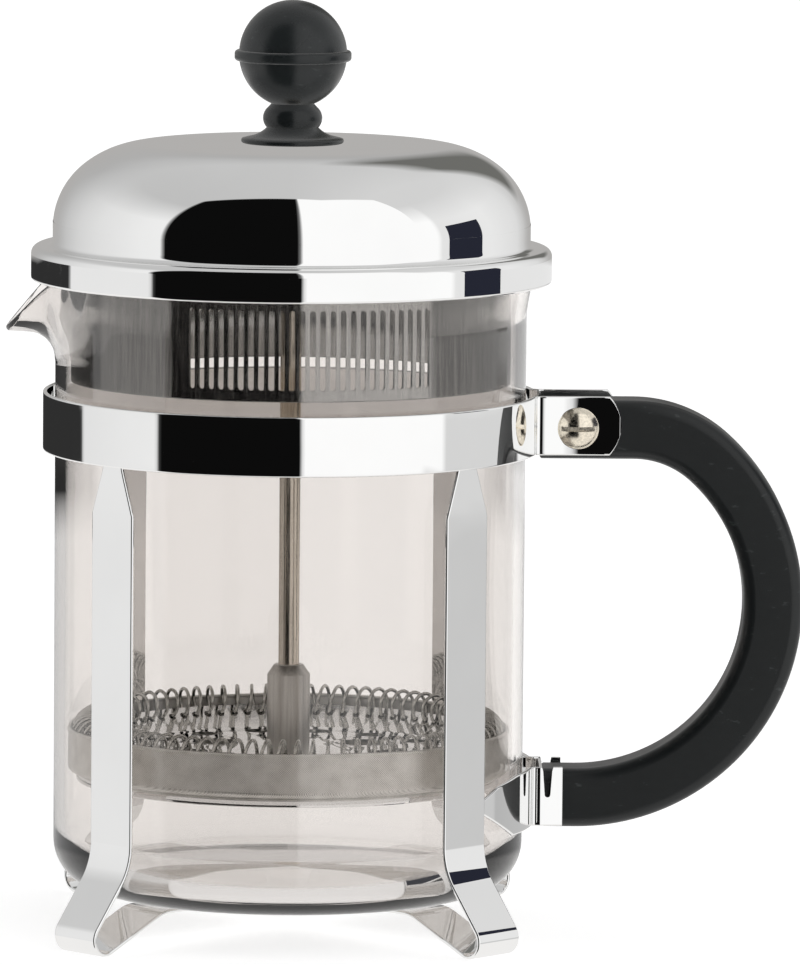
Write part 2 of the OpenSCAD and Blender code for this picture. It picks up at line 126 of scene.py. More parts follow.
def add(tree, kind, **inputs):
    """A node with the given inputs: a socket is linked, and a plain value is set. i0, i1 and
    so on mean an input by its number, and set_ before a name means a setting of the node."""
    n = tree.nodes.new(kind)
    for key, value in inputs.items():
        if key.startswith("set_"):
            setattr(n, key[4:], value)
            continue
        socket = n.inputs[int(key[1:])] if key[1:].isdigit() else n.inputs[key.replace("_", " ")]
        if isinstance(value, bpy.types.NodeSocket):
            tree.links.new(value, socket)
        else:
            socket.default_value = value
    return n


def maths(tree, operation, a, b=0.0):
    return add(tree, "ShaderNodeMath", set_operation=operation, i0=a, i1=b).outputs[0]


def place(tree, scale=(1.0, 1.0, 1.0)):
    """Object coordinates in metres, stretched by scale."""
    where = add(tree, "ShaderNodeTexCoord").outputs["Object"]
    mapped = add(tree, "ShaderNodeMapping", Vector=where)
    mapped.inputs["Scale"].default_value = scale
    return mapped.outputs[0]


def speckle(tree, scale, detail=3.0, stretch=(1.0, 1.0, 1.0)):
    return add(tree, "ShaderNodeTexNoise", Vector=place(tree, stretch), Scale=scale,
               Detail=detail).outputs["Fac"]


def between(tree, value, a0, a1, b0, b1):
    return add(tree, "ShaderNodeMapRange", Value=value, From_Min=a0, From_Max=a1, To_Min=b0,
               To_Max=b1).outputs["Result"]


def ramp(tree, value, stops):
    """A colour ramp whose stops are (position, grey or colour)."""
    n = add(tree, "ShaderNodeValToRGB", Fac=value)
    while len(n.color_ramp.elements) < len(stops):
        n.color_ramp.elements.new(0.5)
    for element, (position, _) in zip(n.color_ramp.elements, stops):
        element.position = position
    for element, (_, colour) in zip(n.color_ramp.elements, stops):
        element.color = (*colour, 1) if hasattr(colour, "__len__") else (colour, colour, colour, 1)
    return n.outputs["Color"]


def bump(tree, shader, height, distance):
    n = add(tree, "ShaderNodeBump", Height=height, Distance=distance, Strength=1.0)
    tree.links.new(n.outputs[0], shader.inputs["Normal"])


def chrome(name="chrome", tint=(0.92, 0.92, 0.915), haze=0.035):
    """Bright plating: a mirror with faint waviness, and a haze of fine wipe marks."""
    material, tree, shader = node_material(name)
    shader.inputs["Metallic"].default_value = 1
    smudge = speckle(tree, 60, 4)
    colour = ramp(tree, smudge, [(0.3, tuple(c * 0.975 for c in tint)), (0.65, tint)])
    tree.links.new(colour, shader.inputs["Base Color"])
    wipe = speckle(tree, 900, 2, (1.0, 1.0, 0.15))
    tree.links.new(between(tree, wipe, 0.45, 0.8, 0.0, haze), shader.inputs["Roughness"])
    bump(tree, shader, speckle(tree, 85, 1), 0.00001)
    return material


def steel(name, tint, rough=(0.12, 0.24), stretch=(1.0, 1.0, 0.03), grain=2600):
    """Steel with fine lines along its length or round its turn."""
    material, tree, shader = node_material(name)
    shader.inputs["Metallic"].default_value = 1
    lines = speckle(tree, grain, 2, stretch)
    dark = tuple(c * 0.8 for c in tint)
    tree.links.new(ramp(tree, lines, [(0.35, dark), (0.65, tint)]), shader.inputs["Base Color"])
    tree.links.new(between(tree, lines, 0.3, 0.7, *rough), shader.inputs["Roughness"])
    bump(tree, shader, lines, 0.000004)
    return material


def woven_steel():
    """Fine wire cloth: threads along x and y on the flat, and round and up on the rim."""
    material, tree, shader = node_material("woven_steel")
    shader.inputs["Metallic"].default_value = 1
    pitch = 0.00042
    split = add(tree, "ShaderNodeSeparateXYZ", Vector=place(tree))
    x, y, z = split.outputs
    turn = maths(tree, "ARCTAN2", y, x)
    round_rim = maths(tree, "MULTIPLY", turn, MESH_R * MM)
    on_rim = maths(tree, "GREATER_THAN", z, (MESH_LOW + 1.2) * MM)

    def thread(a, b):
        mixed = add(tree, "ShaderNodeMix", Factor=on_rim)
        tree.links.new(a, mixed.inputs[2])
        tree.links.new(b, mixed.inputs[3])
        return maths(tree, "SINE", maths(tree, "MULTIPLY", mixed.outputs[0], 2 * pi / pitch))

    weft, warp = thread(x, round_rim), thread(y, z)
    weave = maths(tree, "MULTIPLY", weft, warp)
    # darker where the weave's height is low: painted shade in the cloth's hollows, with random tone
    # from the speckle on top
    weave_shade_and_wear = maths(tree, "ADD", maths(tree, "MULTIPLY", weave, 0.5), speckle(tree, 300))
    colour = ramp(tree, weave_shade_and_wear, [(0.1, (0.5, 0.48, 0.45)), (0.45, (0.93, 0.91, 0.87)),
                               (0.9, (1.0, 0.99, 0.96))])
    tree.links.new(colour, shader.inputs["Base Color"])
    shader.inputs["Roughness"].default_value = 0.42
    bump(tree, shader, weave, 0.000022)
    return material


def black_plastic(name, highlight_lift, smooth, rough):
    """Moulded black plastic: a fine spark-eroded grain, and a few pale rubbed spots."""
    material, tree, shader = node_material(name)
    rubbed = speckle(tree, 420, 8, (1.0, 1.0, 2.2))
    # the base colour is scaled by highlight_lift: above 1 it is painted highlight
    colour = ramp(tree, rubbed, [(0.0, (0.008 * highlight_lift, 0.0095 * highlight_lift, 0.01 * highlight_lift)),
                                 (0.66, (0.01 * highlight_lift, 0.012 * highlight_lift, 0.0125 * highlight_lift)),
                                 (0.74, (0.035, 0.04, 0.04))])
    tree.links.new(colour, shader.inputs["Base Color"])
    shader.inputs["Specular IOR Level"].default_value = 0.4
    tree.links.new(between(tree, speckle(tree, 160), 0.3, 0.7, smooth, rough),
                   shader.inputs["Roughness"])
    bump(tree, shader, speckle(tree, 5200, 1), 0.000012)
    return material


def clear_glass():
    """Borosilicate glass with a slight warm tint and the faintest unevenness."""
    material, tree, shader = node_material("clear_glass")
    shader.inputs["Transmission Weight"].default_value = 1
    shader.inputs["IOR"].default_value = 1.47
    shader.inputs["Specular IOR Level"].default_value = 0.22
    shader.inputs["Roughness"].default_value = 0
    streak = speckle(tree, 30, 2, (1.0, 1.0, 0.2))
    tint = ramp(tree, streak, [(0.3, (0.812, 0.79, 0.774)), (0.7, (0.824, 0.802, 0.786))])
    tree.links.new(tint, shader.inputs["Base Color"])
    bump(tree, shader, speckle(tree, 45, 1, (1.0, 1.0, 0.3)), 0.000008)
    # light that has been through many faces of glass is taken to end in a pale room
    bounces = add(tree, "ShaderNodeLightPath").outputs["Ray Depth"]
    room = add(tree, "ShaderNodeEmission", Color=(0.8, 0.79, 0.78, 1), Strength=1.0).outputs[0]
    most_bounces = 7.5
    mixed = add(tree, "ShaderNodeMixShader", i1=shader.outputs[0], i2=room,
                i0=maths(tree, "GREATER_THAN", bounces, most_bounces))
    tree.links.new(mixed.outputs[0], tree.nodes["Material Output"].inputs["Surface"])
    material.cycles.emission_sampling = "NONE"
    return material


CHROME = chrome()
BRIGHT_STEEL = chrome("bright_steel", (0.8, 0.78, 0.75), 0.12)
SLEEVE_STEEL = steel("sleeve_steel", (0.46, 0.46, 0.45), (0.05, 0.1))
ROD_STEEL = steel("rod_steel", (0.72, 0.66, 0.58), (0.08, 0.2))
SPRING_STEEL = steel("spring_steel", (0.6, 0.59, 0.56), (0.12, 0.22), (1, 1, 1), 1500)
WOVEN_STEEL = woven_steel()
NUT_STEEL = steel("nut_steel", (0.62, 0.6, 0.57), (0.28, 0.38))
NICKEL = steel("nickel", (0.95, 0.87, 0.73), (0.16, 0.26), (1, 1, 1), 1800)
BRASS = steel("brass", (0.78, 0.6, 0.3), (0.2, 0.3), (1, 1, 1), 1800)
BLACK = black_plastic("black_plastic", 1.0, 0.3, 0.38)
# the knob's copy has a lighter base colour: painted highlight standing in for the broad highlight on
# its top
KNOB_BLACK = black_plastic("knob_black", 1.7, 0.22, 0.3)
GLASS = clear_glass()


# ---------------------------------------------------------------- mesh tools

def finish_piece(name, verts, faces, material, body, nodes, slot, sharp=32, flats=False):
    """Makes the piece's object, hangs it on what it rides on and hides the CAD nodes it stands in
    for.
    """
    mesh = bpy.data.meshes.new(name)
    mesh.from_pydata([(x * MM, y * MM, z * MM) for x, y, z in verts], [], faces)
    bm = bmesh.new()
    bm.from_mesh(mesh)
    bmesh.ops.remove_doubles(bm, verts=bm.verts, dist=2e-7)
    bmesh.ops.recalc_face_normals(bm, faces=bm.faces)
    bm.to_mesh(mesh)
    bm.free()
    obj = bpy.data.objects.new(name, mesh)
    bpy.context.scene.collection.objects.link(obj)
    mesh.materials.append(material)
    shade(mesh, sharp)
    if flats:
        flat_faces_first(obj)
    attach(obj, body)
    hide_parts(*nodes)
    return obj


def shade(mesh, sharp):
    mesh.shade_smooth()
    mesh.set_sharp_from_angle(angle=radians(sharp))


def flat_faces_first(obj):
    """Keeps the shading of wide flat faces flat, so that only the rounded edges turn."""
    change = obj.modifiers.new("flats", "WEIGHTED_NORMAL")
    change.weight = 100
    change.keep_sharp = True


def arc(cx, cy, r, a0, a1, steps):
    """Points on an arc, angles in degrees."""
    turns = (radians(a0 + (a1 - a0) * i / steps) for i in range(steps + 1))
    return [(cx + r * cos(t), cy + r * sin(t)) for t in turns]


def spin(profile, steps=192, closed=False, move=None):
    """Turns a profile of (radius, height) about the z axis. move(k, r, a, z), if given, says
    where the profile's point k comes at the angle a."""
    verts, faces = [], []
    for i in range(steps):
        a = 2 * pi * i / steps
        for k, (r, z) in enumerate(profile):
            verts.append(move(k, r, a, z) if move else (r * cos(a), r * sin(a), z))
    n = len(profile)
    for i in range(steps):
        j = (i + 1) % steps
        for k in range(n if closed else n - 1):
            m = (k + 1) % n
            faces.append((i * n + k, j * n + k, j * n + m, i * n + m))
    return verts, faces


def loft(rings, loop=False):
    """Joins rings of points into a tube, which is capped unless it is a loop."""
    n = len(rings[0])
    verts = [p for ring in rings for p in ring]
    count = len(rings)
    faces = []
    for i in range(count if loop else count - 1):
        j = (i + 1) % count
        for k in range(n):
            m = (k + 1) % n
            faces.append((i * n + k, j * n + k, j * n + m, i * n + m))
    if not loop:
        faces.append(tuple(range(n)))
        faces.append(tuple((count - 1) * n + k for k in range(n)))
    return verts, faces


def rounded(w0, w1, h0, h1, r, steps=4):
    """A rectangle from (w0, h0) to (w1, h1) with round corners."""
    r = min(r, (w1 - w0) * 0.49, (h1 - h0) * 0.49)
    return (arc(w1 - r, h1 - r, r, 0, 90, steps) + arc(w0 + r, h1 - r, r, 90, 180, steps)
            + arc(w0 + r, h0 + r, r, 180, 270, steps) + arc(w1 - r, h0 + r, r, 270, 360, steps))


def normals_of(path):
    """The unit vector on the left of each point of a plane path."""
    out = []
    for i in range(len(path)):
        (x0, y0), (x1, y1) = path[max(i - 1, 0)], path[min(i + 1, len(path) - 1)]
        size = hypot(x1 - x0, y1 - y0)
        out.append((-(y1 - y0) / size, (x1 - x0) / size))
    return out


def resample(path, step):
    """Puts points on a plane path so that none is further than step from the next."""
    out = [path[0]]
    for (x0, y0), (x1, y1) in zip(path, path[1:]):
        parts = max(1, round(hypot(x1 - x0, y1 - y0) / step))
        out += [(x0 + (x1 - x0) * i / parts, y0 + (y1 - y0) * i / parts)
                for i in range(1, parts + 1)]
    return out


def sheet_strip(path, spread, to_space, thickness=SHEET_T, edge=0.34):
    """A strip of sheet. path is its middle line, spread(point) its two edges across the path,
    and to_space(u, v, w) turns a point of the path's plane and a height across it into x, y, z."""
    rings = []
    for (u, v), (nu, nv) in zip(path, normals_of(path)):
        w0, w1 = spread((u, v))
        rings.append([to_space(u + nu * t, v + nv * t, w)
                      for t, w in rounded(-thickness / 2, thickness / 2, w0, w1, edge)])
    return loft(rings)


def join(*parts):
    verts, faces = [], []
    for v, f in parts:
        faces += [tuple(i + len(verts) for i in face) for face in f]
        verts += v
    return verts, faces


def turned(part, angle):
    """The part turned about the z axis, angle in degrees."""
    c, s = cos(radians(angle)), sin(radians(angle))
    verts, faces = part
    return [(x * c - y * s, x * s + y * c, z) for x, y, z in verts], faces


def flipped(part):
    """The part mirrored in the plane y = 0."""
    verts, faces = part
    return [(x, -y, z) for x, y, z in verts], [tuple(reversed(f)) for f in faces]


def rod_between(p0, p1, r, sides=32):
    """A closed cylinder from p0 to p1."""
    a, b = Vector(p0), Vector(p1)
    along = (b - a).normalized()
    across = along.orthogonal().normalized()
    up = along.cross(across)
    turns = [2 * pi * i / sides for i in range(sides)]
    return loft([[tuple(p + (across * cos(t) + up * sin(t)) * r) for t in turns] for p in (a, b)])


def carve(obj, cutter, sharp=32):
    """Cuts the closed shapes of cutter out of obj."""
    verts, faces = cutter
    mesh = bpy.data.meshes.new("cutter")
    mesh.from_pydata([(x * MM, y * MM, z * MM) for x, y, z in verts], [], faces)
    bm = bmesh.new()
    bm.from_mesh(mesh)
    bmesh.ops.recalc_face_normals(bm, faces=bm.faces)
    bm.to_mesh(mesh)
    bm.free()
    tool = bpy.data.objects.new("cutter", mesh)
    bpy.context.scene.collection.objects.link(tool)
    change = obj.modifiers.new("carve", "BOOLEAN")
    change.operation = "DIFFERENCE"
    change.solver = "EXACT"
    change.use_self = True
    change.object = tool
    bpy.context.view_layer.update()
    flats = any(m.type == "WEIGHTED_NORMAL" for m in obj.modifiers)
    for m in list(obj.modifiers)[:-1]:
        obj.modifiers.remove(m)
    evaluated = obj.evaluated_get(bpy.context.evaluated_depsgraph_get())
    carved = bpy.data.meshes.new_from_object(evaluated)
    obj.modifiers.clear()
    obj.data = carved
    bpy.data.objects.remove(tool)
    shade(carved, sharp)
    if flats:
        flat_faces_first(obj)


# ---------------------------------------------------------------- camera, light and floor

def camera():
    """The studio camera: a long lens, 1.8 m in front and a little above."""
    data = bpy.data.cameras.new("camera")
    obj = bpy.data.objects.new("camera", data)
    bpy.context.scene.collection.objects.link(obj)
    pitch, yaw, roll = -0.1159, 0.0117, 0.0085
    forward = Vector((sin(yaw) * cos(pitch), cos(yaw) * cos(pitch), sin(pitch)))
    level = Vector((cos(yaw), -sin(yaw), 0))
    above = level.cross(forward)
    right = level * cos(roll) + above * sin(roll)
    up = above * cos(roll) - level * sin(roll)
    turn = Matrix((right, up, -forward)).transposed()
    obj.matrix_world = Matrix.Translation((0, -1.79859, 0.29470)) @ turn.to_4x4()
    data.sensor_width = 36
    data.lens = 352.97
    data.clip_start = 0.1
    data.clip_end = 60
    bpy.context.scene.camera = obj


WHITE_CARD = 1.06
BLACK_CARD = 0.004


def card_level(left, right, black=(-63.2, 4.5), white=(6, 75), grey=WHITE_CARD):
    """Stops (azimuth, grey) all round the studio at one height: what hangs left of the black
    card in front, the black card, the white card, and what hangs right of it."""
    front = [(a, BLACK_CARD) for a in black] + [(a, grey) for a in white]
    return left + front + right


# what the chrome sees at the height of each part, from the dome down to the legs
DOME_LEVEL = card_level([(-180, 0.45), (-156, 0.47), (-140, 0.58), (-124, 0.71), (-108, 0.8),
                         (-76, 0.9), (-66, 0.92)],
                        [(77.5, 0.84), (112, 0.88), (132, 0.8), (150, 0.71), (165, 0.45),
                         (180, 0.45)], black=(-64, 4), white=(5.2, 75))
RIM_LEVEL = card_level([(-180, 0.03), (-116, 0.03), (-114, 0.86), (-65, 0.86)],
                       [(77.5, 0.84), (180, 0.84)])
SLEEVE_LEVEL = card_level([(-180, 0.06), (-116, 0.06), (-112, 0.33), (-66, 0.33)],
                          [(78, 0.3), (180, 0.3)], grey=1.1)
BAND_LEVEL = card_level([(-180, 0.03), (-114, 0.03), (-112, 0.82), (-65, 0.9)],
                        [(77, 0.72), (120, 0.72), (122.5, 0.12), (131, 0.12), (133, 0.95),
                         (180, 0.95)])
LEG_LEVEL = card_level([(-180, 0.6), (-114, 0.7), (-112, 0.84), (-65, 0.84)],
                       [(66, 0.62), (112, 0.62), (114, 0.5), (180, 0.6)], white=(6, 63))

# the elevations between which each level, going down, takes over from the one above
RIM_EDGE = (-5.27, -5.32)
SLEEVE_EDGE = (-4.6, -5.0)
BAND_EDGE = (-5.85, -6.1)
SLEEVE_END = (-6.6, -6.4)
LEG_EDGE = (-6.7, -7.0)
TABLE_EDGE = (-10, -13)

CEILING = [(0, 0.55), (0.5, 0.6), (0.72, 0.7), (1, 0.7)]
BACK_WALL = (0.45, 0.44, 0.43)
DARK_DOOR = (0.16, 0.16, 0.15)
BEHIND_GLASS = (0.85, 0.84, 0.83)
LEFT_BEHIND_GLASS = (0.8, 0.79, 0.78)
RIGHT_BEHIND_GLASS = (1.35, 1.34, 1.32)
TABLE_IN_MIRRORS = (0.93, 0.92, 0.91)


def studio():
    """Cards and softboxes all round, as a world that only reflected and scattered light sees.
    Azimuth and elevation are in degrees. Azimuth is 0 towards the camera and grows towards the
    handle."""
    world = bpy.data.worlds.new("studio")
    bpy.context.scene.world = world
    world.use_nodes = True
    tree = world.node_tree
    tree.nodes.clear()

    def times(first, *others):
        for other in others:
            first = maths(tree, "MULTIPLY", first, other)
        return first

    def less(a, b):
        return maths(tree, "SUBTRACT", a, b)

    def rise(value, start, end):
        """0 at start and 1 at end, which may be the lower of the two."""
        return between(tree, value, start, end, 0, 1)

    def over(base, colour, mask):
        """The colour laid over the base where the mask is 1."""
        mixed = add(tree, "ShaderNodeMix", set_data_type="RGBA", Factor=mask)
        for socket, value in ((6, base), (7, colour)):
            if isinstance(value, bpy.types.NodeSocket):
                tree.links.new(value, mixed.inputs[socket])
            else:
                mixed.inputs[socket].default_value = (*value, 1)
        return mixed.outputs[2]

    coordinates = add(tree, "ShaderNodeTexCoord").outputs["Generated"]
    x, y, z = add(tree, "ShaderNodeSeparateXYZ", Vector=coordinates).outputs
    azimuth = times(maths(tree, "ARCTAN2", x, times(y, -1)), degrees(1))
    elevation = times(maths(tree, "ARCSINE", z), degrees(1))
    off_front = maths(tree, "ABSOLUTE", azimuth)
    turn = rise(azimuth, -180, 180)
    path = add(tree, "ShaderNodeLightPath").outputs
    through_glass = maths(tree, "MINIMUM", path["Transmission Depth"], 1)

    def level(stops):
        return ramp(tree, turn, [((a + 180) / 360, grey) for a, grey in stops])

    def facing(a):
        """How far a direction goes towards the azimuth a."""
        return maths(tree, "ADD", times(x, sin(radians(a))), times(y, -cos(radians(a))))

    # the flat screens in front end at a straight edge high above the object
    screen_tops = maths(tree, "MAXIMUM", times(facing(-5), 2.75), times(facing(20), 2.35))
    above_screens = rise(less(z, screen_tops), -0.02, 0.04)
    at_side = maths(tree, "GREATER_THAN", off_front, 65.5)
    above = maths(tree, "ADD", times(above_screens, less(1, at_side)),
                  times(rise(elevation, 24, 46), at_side))
    ceiling = ramp(tree, rise(x, -1, 1), CEILING)
    walls = over(level(DOME_LEVEL), ceiling, above)
    back = times(rise(off_front, 140, 166), rise(elevation, 34, 6))
    walls = over(walls, BACK_WALL, back)
    door = times(rise(azimuth, 150, 157), rise(azimuth, 177, 171),
                 rise(elevation, 6, 12), rise(elevation, 48, 38))
    walls = over(walls, DARK_DOOR, door)
    walls = over(walls, BEHIND_GLASS, through_glass)

    walls = over(walls, level(RIM_LEVEL), rise(elevation, *RIM_EDGE))
    walls = over(walls, level(SLEEVE_LEVEL), times(through_glass, rise(elevation, *SLEEVE_EDGE)))
    on_sleeve = times(through_glass, rise(elevation, *SLEEVE_END))
    walls = over(walls, level(BAND_LEVEL), times(rise(elevation, *BAND_EDGE), less(1, on_sleeve)))
    low_down = rise(elevation, *LEG_EDGE)
    walls = over(walls, level(LEG_LEVEL), low_down)
    beside = over(LEFT_BEHIND_GLASS, RIGHT_BEHIND_GLASS, rise(x, -0.1, 0.1))
    walls = over(walls, beside, times(through_glass, low_down, at_side))

    black_card = times(rise(azimuth, -65, -63.2), rise(azimuth, 6, 4.5), rise(elevation, -50, -40))
    table = times(rise(elevation, *TABLE_EDGE), less(1, black_card))
    in_mirrors = over(walls, TABLE_IN_MIRRORS, table)
    bounces = maths(tree, "ADD", path["Glossy Depth"], path["Diffuse Depth"])
    seen = over((1.0, 1.0, 1.0), in_mirrors, maths(tree, "MINIMUM", bounces, 1))
    background = add(tree, "ShaderNodeBackground", Color=seen, Strength=1.0)
    out = add(tree, "ShaderNodeOutputWorld")
    tree.links.new(background.outputs[0], out.inputs[0])
    world.cycles.sampling_method = "NONE"


def stage_sheet(name, corners, material):
    mesh = bpy.data.meshes.new(name)
    mesh.from_pydata(corners, [], [(0, 1, 2, 3)])
    mesh.materials.append(material)
    obj = bpy.data.objects.new(name, mesh)
    bpy.context.scene.collection.objects.link(obj)
    return obj


def floor():
    """A plain pale table that runs out to the horizon, and glows a little as an overlit one
    does. Mirrors see past it, to the studio."""
    material, tree, shader = node_material("floor")
    shader.inputs["Base Color"].default_value = (0.6, 0.6, 0.6, 1)
    shader.inputs["Roughness"].default_value = 0.9
    shader.inputs["Specular IOR Level"].default_value = 0
    shader.inputs["Emission Color"].default_value = (1, 1, 1, 1)
    glow = 0.745
    shader.inputs["Emission Strength"].default_value = glow
    mirrored = maths(tree, "MINIMUM", add(tree, "ShaderNodeLightPath").outputs["Glossy Depth"], 1)
    clear = add(tree, "ShaderNodeBsdfTransparent").outputs[0]
    mixed = add(tree, "ShaderNodeMixShader", i0=mirrored, i1=shader.outputs[0], i2=clear)
    tree.links.new(mixed.outputs[0], tree.nodes["Material Output"].inputs["Surface"])
    material.cycles.emission_sampling = "NONE"
    size = 12
    stage_sheet("floor", [(-size, -size, 0), (size, -size, 0), (size, size, 0), (-size, size, 0)],
                material)


def dark_card():
    """A small dark card on the handle's side, which only the chrome sees."""
    material, _, shader = node_material("dark_card")
    shader.inputs["Base Color"].default_value = (0.001, 0.001, 0.002, 1)
    shader.inputs["Specular IOR Level"].default_value = 0
    shader.inputs["Emission Color"].default_value = (0.02, 0.022, 0.035, 1)
    shader.inputs["Emission Strength"].default_value = 1
    material.cycles.emission_sampling = "NONE"
    x, y0, y1, z0, z1 = 0.235, -0.065, 0.024, 0.1005, 0.2
    card = stage_sheet("dark_card", [(x, y0, z0), (x, y1, z0), (x, y1, z1), (x, y0, z1)], material)
    card.visible_camera = False
    card.visible_transmission = False
    card.visible_diffuse = False
    card.visible_shadow = False


# ---------------------------------------------------------------- lid and knob

def knob():
    """From below: a saucer with a round edge, its hollow flare, the neck's bead, and the ball
    with a ring just under its equator."""
    z0, bore_r = KNOB_LOW, 3.3
    saucer_r, saucer_edge = 9.3, 0.5
    flare_r, bead_r, bead_x = 6.5, 2.7, 2.95
    neck_r = 4.07
    neck_a = degrees(asin(neck_r / BALL_R))
    ring_drop, ring_half, ring_edge, ring_out = 0.3, 1.05, 0.7, 0.15
    ring_z = BALL_Z - ring_drop
    below_a = degrees(asin((-ring_drop - ring_half) / BALL_R))
    above_a = degrees(asin((-ring_drop + ring_half) / BALL_R))
    ring_x, ring_shift = BALL_R + ring_out, ring_half - ring_edge
    profile = ([(0, z0), (bore_r, z0), (bore_r, z0 + 0.2), (saucer_r - 0.1, z0)]
               + arc(saucer_r, z0 + saucer_edge, saucer_edge, -80, 50, 5)
               + arc(saucer_r + 0.2, z0 + 7.6, flare_r, 261, 216, 10)
               + arc(bead_x, z0 + 4.8, bead_r, -50, 50, 14)
               + arc(0, BALL_Z, BALL_R, -90 + neck_a, below_a, 22)
               + arc(ring_x, ring_z - ring_shift, ring_edge, -90, -10, 5)
               + arc(ring_x, ring_z + ring_shift, ring_edge, 10, 90, 5)
               + arc(0, BALL_Z, BALL_R, above_a, 90, 30))
    obj = finish_piece("knob", *spin(profile, 128), KNOB_BLACK, "plunger", ["knob"],
                       "black_plastic", 40)
    obj.visible_glossy = False
    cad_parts["knob_insert"].visible_glossy = False
    return obj


DOME_WALL_R = 45.6


def dome_profile(inset):
    """From the shoulder of the rim to the hole at the top, inset mm inside the outer face:
    a wall, a round corner that opens into a wider one, and a nearly flat crown."""
    corner_r, corner_z, change_a = 15.3, 133.9, 50
    c, s = cos(radians(change_a)), sin(radians(change_a))
    out = [(DOME_WALL_R - inset, z) for z in (RIM_LOW + 8, RIM_LOW + 11)]
    out += arc(DOME_WALL_R - corner_r, corner_z, corner_r - inset, 4, change_a, 16)
    wide_r = (DOME_TOP - corner_z - corner_r * s) / (1 - s)
    centre_x = DOME_WALL_R - corner_r + (corner_r - wide_r) * c
    centre_z = corner_z + (corner_r - wide_r) * s
    out += arc(centre_x, centre_z, wide_r - inset, change_a, 90, 22)[1:]
    hole, steps = 3.06, 12
    crown_r = out[-1][0]
    return out + [(crown_r + (hole - crown_r) * i / steps, DOME_TOP - inset)
                  for i in range(1, steps + 1)]


def lid_dome():
    """The rim's round lower edge, its upright face, its round shoulder and a small fillet up to
    the dome. A point just past each round edge keeps the upright face's shading upright."""
    t, top = SHEET_T, 130.6
    edge_r, shoulder_r, fillet_r, past = 0.45, 1.5, 1.1, 0.05
    outer = ([(RIM_R - t, RIM_LOW), (RIM_R - 0.35, RIM_LOW)]
             + arc(RIM_R - edge_r, RIM_LOW + edge_r, edge_r, -70, 0, 4)
             + [(RIM_R, RIM_LOW + edge_r + past), (RIM_R, top - shoulder_r - past)]
             + arc(RIM_R - shoulder_r, top - shoulder_r, shoulder_r, 0, 90, 8)
             + arc(DOME_WALL_R + fillet_r, top + fillet_r, fillet_r, 270, 184, 7)
             + dome_profile(0))
    inner = ([(DOME_WALL_R - t, top - t + 1.4), (DOME_WALL_R - t, top - t)]
             + arc(RIM_R - shoulder_r, top - shoulder_r, shoulder_r - t, 90, 0, 4))
    profile = outer + list(reversed(dome_profile(t))) + inner
    return finish_piece("lid_dome", *spin(profile, 256, closed=True), CHROME, "lid", ["lid_dome"],
                        "chrome", 50)


def lid_strainer():
    """A sleeve with a seat on the glass and a flange up into the lid, and its slots."""
    t = 0.6
    profile = [(STRAINER_R - t, STRAINER_LOW), (STRAINER_R - 0.15, STRAINER_LOW),
               (STRAINER_R, STRAINER_LOW + 0.15), (STRAINER_R, SEAT_Z),
               (STRAINER_FLANGE_R, SEAT_Z), (STRAINER_FLANGE_R, STRAINER_TOP),
               (STRAINER_FLANGE_R - t, STRAINER_TOP), (STRAINER_FLANGE_R - t, SEAT_Z + t),
               (STRAINER_R - t, SEAT_Z + t)]
    obj = finish_piece("lid_strainer", *spin(profile, 256, closed=True), SLEEVE_STEEL, "lid",
                       ["lid_strainer"], "brushed_steel")
    count, pitch_a, middle_a, half_w = 25, 2.6, -84.5, 0.55
    slot_low, slot_high = 107.2 + half_w, 122.4 - half_w
    outline = arc(0, slot_high, half_w, 0, 180, 8) + arc(0, slot_low, half_w, 180, 360, 8)
    slot = loft([[(x, u, z) for u, z in outline] for x in (STRAINER_R - 3, STRAINER_R + 3)])
    slots = [turned(slot, middle_a + (i - (count - 1) / 2) * pitch_a) for i in range(count)]
    carve(obj, join(*slots))
    return obj


# ---------------------------------------------------------------- plunger

def plunger_rod():
    z0, z1 = low("plunger_rod", "z"), high("plunger_rod", "z")
    chamfer = 0.3
    profile = [(0, z0), (ROD_R - chamfer, z0), (ROD_R, z0 + chamfer)]
    profile += [(ROD_R, z0 + chamfer + (z1 - z0 - 2 * chamfer) * i / 24) for i in range(1, 25)]
    profile += [(ROD_R - chamfer, z1), (0, z1)]
    obj = finish_piece("plunger_rod", *spin(profile, 64), ROD_STEEL, "plunger", ["plunger_rod"],
                       "brushed_steel", 40)
    obj.visible_glossy = False
    return obj


def coupling_nut():
    chamfer, mouth = 1.8, ROD_R + FIT
    profile = [(mouth, COUPLING_LOW), (COUPLING_R - 0.2, COUPLING_LOW),
               (COUPLING_R, COUPLING_LOW + 0.2), (COUPLING_R, COUPLING_TOP - chamfer - 0.15),
               (COUPLING_R - 0.1, COUPLING_TOP - chamfer + 0.05),
               (COUPLING_R - 1.2, COUPLING_TOP - 0.12), (COUPLING_R - 1.35, COUPLING_TOP),
               (mouth + 0.25, COUPLING_TOP), (mouth, COUPLING_TOP - 0.25)]
    return finish_piece("coupling_nut", *spin(profile, 96, closed=True), NUT_STEEL, "plunger",
                        ["coupling_nut"], "brushed_steel", 30)


COIL_TURNS = 84
COIL_RING_R = 38.4
COIL_R = 2.8
COIL_Z = 38.0
THREAD_A = radians(240.8)


